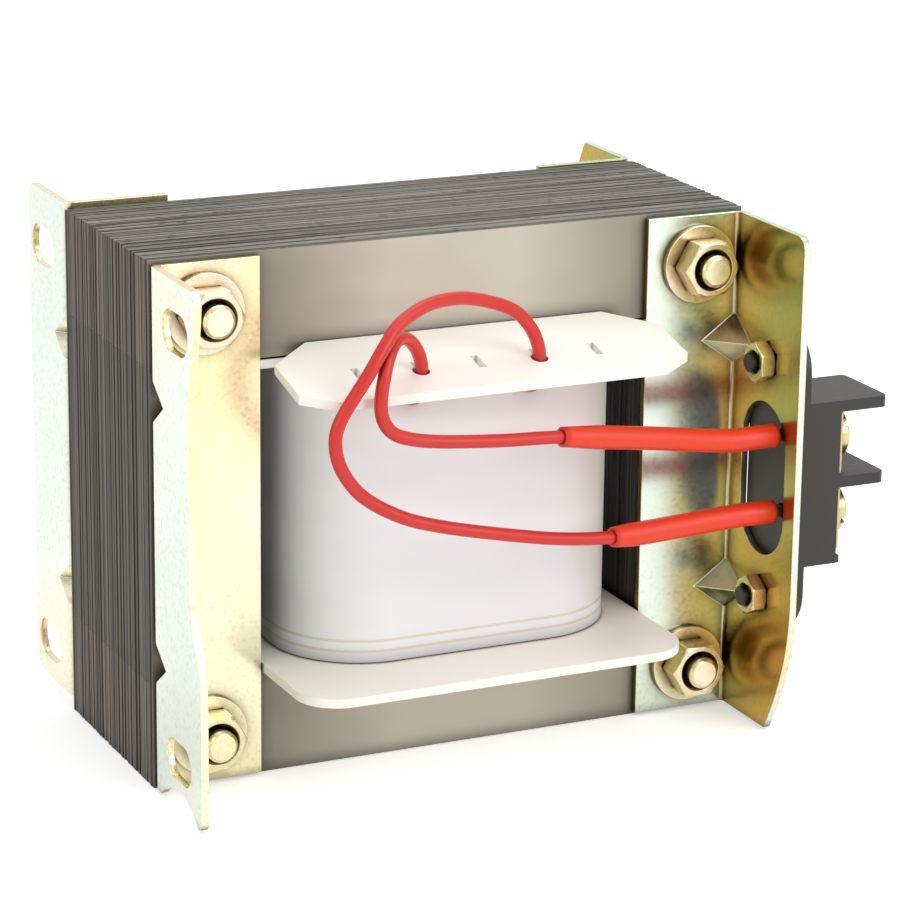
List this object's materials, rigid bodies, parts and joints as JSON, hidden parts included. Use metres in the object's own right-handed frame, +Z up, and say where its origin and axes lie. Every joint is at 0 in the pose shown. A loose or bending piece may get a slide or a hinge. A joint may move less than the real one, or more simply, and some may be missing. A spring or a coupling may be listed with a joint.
{
  "type": "laminated chassis transformer",
  "caption": "Laminated-core transformer clamped between L-shaped brackets, with slotted chassis legs on one side and screw terminal blocks on the other.",
  "frame": {"origin": "Middle of the footprint of the part without its leads, at the lower edge of the core on which it stands.", "axes": "+X from the chassis legs towards the terminal blocks, -Y towards the side with the two red leads, +Z up."},
  "size_m": [0.1124, 0.078, 0.0809],
  "materials": {
    "laminations": "oxidised and varnished silicon steel sheet, dull",
    "bobbin_plastic": "moulded white nylon, satin",
    "winding_copper": "enamelled copper wire",
    "insulation_paper": "pressed insulating paper",
    "coil_wrap": "polyester film tape, satin",
    "bracket_steel": "zinc plated and yellow passivated sheet steel",
    "fastener_steel": "zinc plated and yellow passivated steel",
    "block_plastic": "black moulded phenolic",
    "terminal_brass": "tinned brass, pale",
    "dark_steel": "blackened steel",
    "lead_insulation": "red PVC insulation, satin",
    "sleeve_insulation": "orange-red insulating sleeve, satin"
  },
  "bodies": {
    "root": {"e_laminations": "laminations", "i_laminations": "laminations", "bobbin": "bobbin_plastic", "primary_winding": "winding_copper", "interwinding_insulation": "insulation_paper", "secondary_winding": "winding_copper", "outer_wrap": "coil_wrap", "front_left_bracket": "bracket_steel", "back_left_bracket": "bracket_steel", "front_right_bracket": "bracket_steel", "back_right_bracket": "bracket_steel", "clamp_bolts": "fastener_steel", "clamp_nuts": "fastener_steel", "clamp_washers": "fastener_steel", "bolt_sleeves": "insulation_paper", "front_terminal_block": "block_plastic", "rear_terminal_block": "block_plastic", "terminal_nuts": "terminal_brass", "terminal_plates": "terminal_brass", "terminal_clamp_washers": "terminal_brass", "terminal_screws": "terminal_brass", "block_screws": "dark_steel", "block_nuts": "fastener_steel", "lead_a": "lead_insulation", "lead_b": "lead_insulation", "sleeve_a": "sleeve_insulation", "sleeve_b": "sleeve_insulation"}
  },
  "joints": []
}
